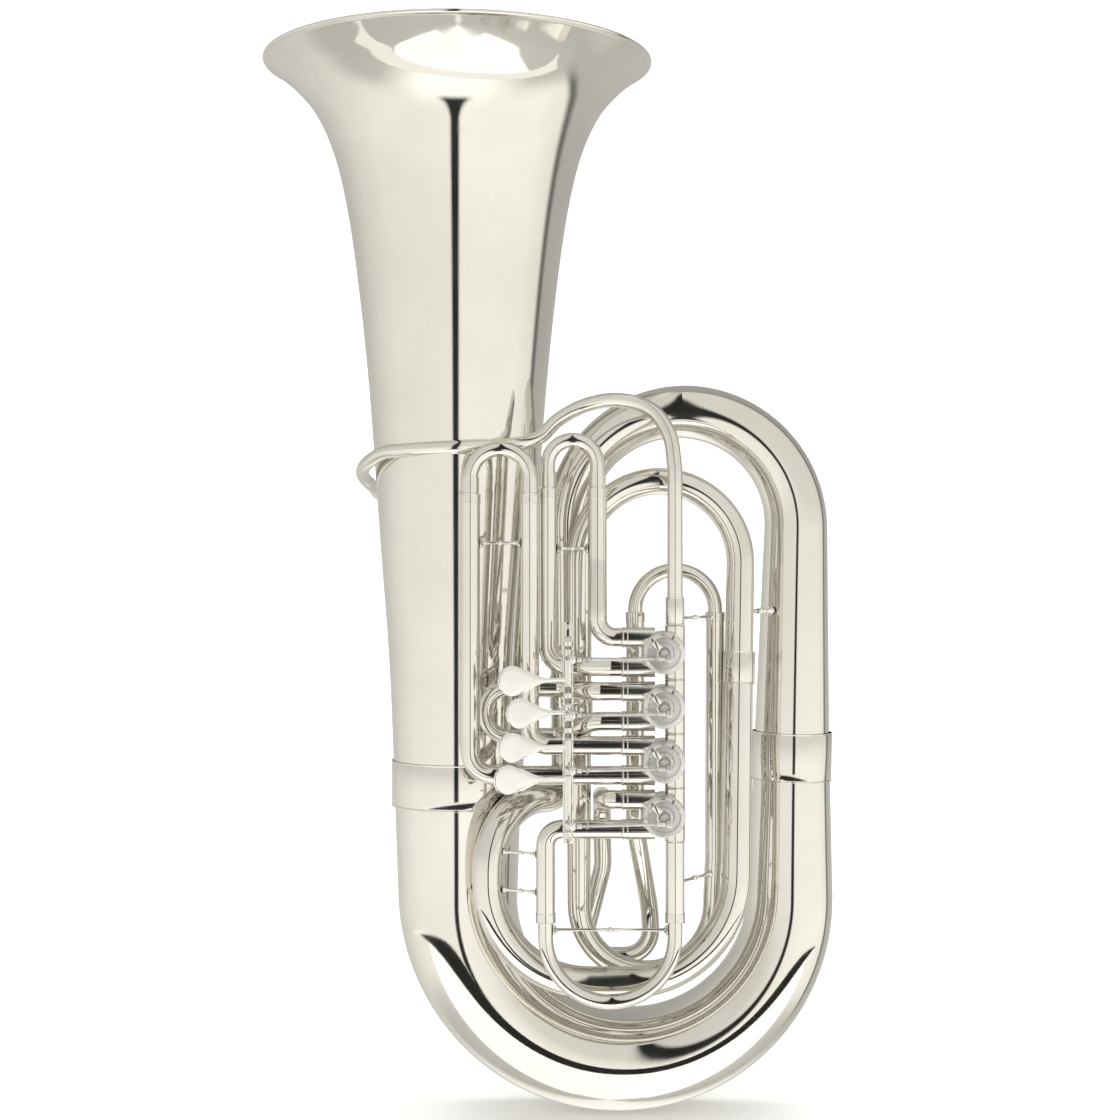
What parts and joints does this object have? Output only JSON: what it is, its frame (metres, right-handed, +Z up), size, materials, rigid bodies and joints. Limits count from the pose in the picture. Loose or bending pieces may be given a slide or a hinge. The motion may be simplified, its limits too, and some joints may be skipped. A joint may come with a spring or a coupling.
{
  "type": "tuba",
  "caption": "Upright bell-up tuba with four rotary valves, finger levers, link rods, tuning slides, leadpipe and large conical branches.",
  "frame": {"origin": "lowest point of the bottom bow, where the player's lap or a stand carries the body", "axes": "+Z up along the bell towards its rim, +X from the bell side to the outer branch, +Y from the valve side to the back"},
  "size_m": [0.5676, 0.3868, 1.0465],
  "materials": {
    "silver_plate": "polished silver plate",
    "bright_plate": "satin bright silver plate",
    "steel": "satin"
  },
  "bodies": {
    "body": {"bell": "silver_plate", "bottom_bow": "silver_plate", "bell_ferrule": "silver_plate", "bow_ferrule": "silver_plate", "top_bow": "silver_plate", "front_loop": "silver_plate", "top_bow_ferrule": "silver_plate", "inner_arch": "silver_plate", "inner_ferrule": "silver_plate", "inner_bow": "silver_plate", "inner_bow_ferrule": "silver_plate", "leadpipe": "silver_plate", "leadpipe_ferrule": "silver_plate", "valve_casing_1": "silver_plate", "valve_casing_2": "silver_plate", "valve_casing_3": "silver_plate", "valve_casing_4": "silver_plate", "first_sleeve_left": "silver_plate", "first_sleeve_right": "silver_plate", "second_sleeve_top": "silver_plate", "second_sleeve_low": "silver_plate", "third_sleeve_left": "silver_plate", "third_sleeve_right": "silver_plate", "fourth_sleeve_left": "silver_plate", "fourth_sleeve_right": "silver_plate", "tuning_entry": "silver_plate", "lever_rack": "silver_plate", "mouthpiece_receiver": "bright_plate", "third_brace": "bright_plate", "first_brace": "bright_plate", "outer_brace": "bright_plate", "tuning_brace": "bright_plate", "bell_brace": "bright_plate", "side_brace": "bright_plate", "loop_brace_top": "bright_plate", "loop_brace_low": "bright_plate", "hinge_rod": "steel"},
    "lever_1": {"lever_1": "bright_plate"},
    "link_1": {"link_1": "steel"},
    "rotor_1": {"rotor_1": "bright_plate", "stop_arm_1": "bright_plate"},
    "lever_2": {"lever_2": "bright_plate"},
    "link_2": {"link_2": "steel"},
    "rotor_2": {"rotor_2": "bright_plate", "stop_arm_2": "bright_plate"},
    "lever_3": {"lever_3": "bright_plate"},
    "link_3": {"link_3": "steel"},
    "rotor_3": {"rotor_3": "bright_plate", "stop_arm_3": "bright_plate"},
    "lever_4": {"lever_4": "bright_plate"},
    "link_4": {"link_4": "steel"},
    "rotor_4": {"rotor_4": "bright_plate", "stop_arm_4": "bright_plate"},
    "first_slide": {"first_slide": "silver_plate"},
    "second_slide": {"second_slide": "silver_plate"},
    "third_slide": {"third_slide": "silver_plate"},
    "fourth_slide": {"fourth_slide": "silver_plate", "fourth_brace": "bright_plate"},
    "tuning_slide": {"main_tuning_slide": "silver_plate"}
  },
  "joints": [
    {"name": "lever_1_press", "type": "hinge", "parent": "body", "child": "lever_1", "pos_m": [-0.045, -0.13, 0.4584], "axis": [0, 0, -1], "range_deg": [0, 16], "stiffness_Nm_per_rad": 0.5, "springref_deg": -11.46},
    {"name": "link_1_swing", "type": "hinge", "parent": "lever_1", "child": "link_1", "pos_m": [-0.04083, -0.15971, 0.4584], "axis": [0, 0, 1], "range_deg": [0, 16]},
    {"name": "rotor_1_turn", "type": "hinge", "parent": "body", "child": "rotor_1", "pos_m": [0.045, -0.11, 0.463], "axis": [0, 1, 0], "range_deg": [0, 90]},
    {"name": "lever_2_press", "type": "hinge", "parent": "body", "child": "lever_2", "pos_m": [-0.045, -0.13, 0.4074], "axis": [0, 0, -1], "range_deg": [0, 16], "stiffness_Nm_per_rad": 0.5, "springref_deg": -11.46},
    {"name": "link_2_swing", "type": "hinge", "parent": "lever_2", "child": "link_2", "pos_m": [-0.04083, -0.15971, 0.4074], "axis": [0, 0, 1], "range_deg": [0, 16]},
    {"name": "rotor_2_turn", "type": "hinge", "parent": "body", "child": "rotor_2", "pos_m": [0.045, -0.11, 0.412], "axis": [0, 1, 0], "range_deg": [0, 90]},
    {"name": "lever_3_press", "type": "hinge", "parent": "body", "child": "lever_3", "pos_m": [-0.045, -0.13, 0.3564], "axis": [0, 0, -1], "range_deg": [0, 16], "stiffness_Nm_per_rad": 0.5, "springref_deg": -11.46},
    {"name": "link_3_swing", "type": "hinge", "parent": "lever_3", "child": "link_3", "pos_m": [-0.04083, -0.15971, 0.3564], "axis": [0, 0, 1], "range_deg": [0, 16]},
    {"name": "rotor_3_turn", "type": "hinge", "parent": "body", "child": "rotor_3", "pos_m": [0.045, -0.11, 0.361], "axis": [0, 1, 0], "range_deg": [0, 90]},
    {"name": "lever_4_press", "type": "hinge", "parent": "body", "child": "lever_4", "pos_m": [-0.045, -0.13, 0.3054], "axis": [0, 0, -1], "range_deg": [0, 16], "stiffness_Nm_per_rad": 0.5, "springref_deg": -11.46},
    {"name": "link_4_swing", "type": "hinge", "parent": "lever_4", "child": "link_4", "pos_m": [-0.04083, -0.15971, 0.3054], "axis": [0, 0, 1], "range_deg": [0, 16]},
    {"name": "rotor_4_turn", "type": "hinge", "parent": "body", "child": "rotor_4", "pos_m": [0.045, -0.11, 0.31], "axis": [0, 1, 0], "range_deg": [0, 90]},
    {"name": "first_slide_pull", "type": "slide", "parent": "body", "child": "first_slide", "axis": [0, 0, 1], "range_m": [0, 0.05]},
    {"name": "second_slide_pull", "type": "slide", "parent": "body", "child": "second_slide", "axis": [-1, 0, 0], "range_m": [0, 0.025]},
    {"name": "third_slide_pull", "type": "slide", "parent": "body", "child": "third_slide", "axis": [0, 0, 1], "range_m": [0, 0.05]},
    {"name": "fourth_slide_pull", "type": "slide", "parent": "body", "child": "fourth_slide", "axis": [0, 0, -1], "range_m": [0, 0.04]},
    {"name": "tuning_slide_pull", "type": "slide", "parent": "body", "child": "tuning_slide", "axis": [0, 0, 1], "range_m": [0, 0.045]}
  ],
  "couplings": [
    {"joint": "link_1_swing", "follows": "lever_1_press", "ratio": 1},
    {"joint": "rotor_1_turn", "follows": "lever_1_press", "ratio": 5.625},
    {"joint": "link_2_swing", "follows": "lever_2_press", "ratio": 1},
    {"joint": "rotor_2_turn", "follows": "lever_2_press", "ratio": 5.625},
    {"joint": "link_3_swing", "follows": "lever_3_press", "ratio": 1},
    {"joint": "rotor_3_turn", "follows": "lever_3_press", "ratio": 5.625},
    {"joint": "link_4_swing", "follows": "lever_4_press", "ratio": 1},
    {"joint": "rotor_4_turn", "follows": "lever_4_press", "ratio": 5.625}
  ]
}
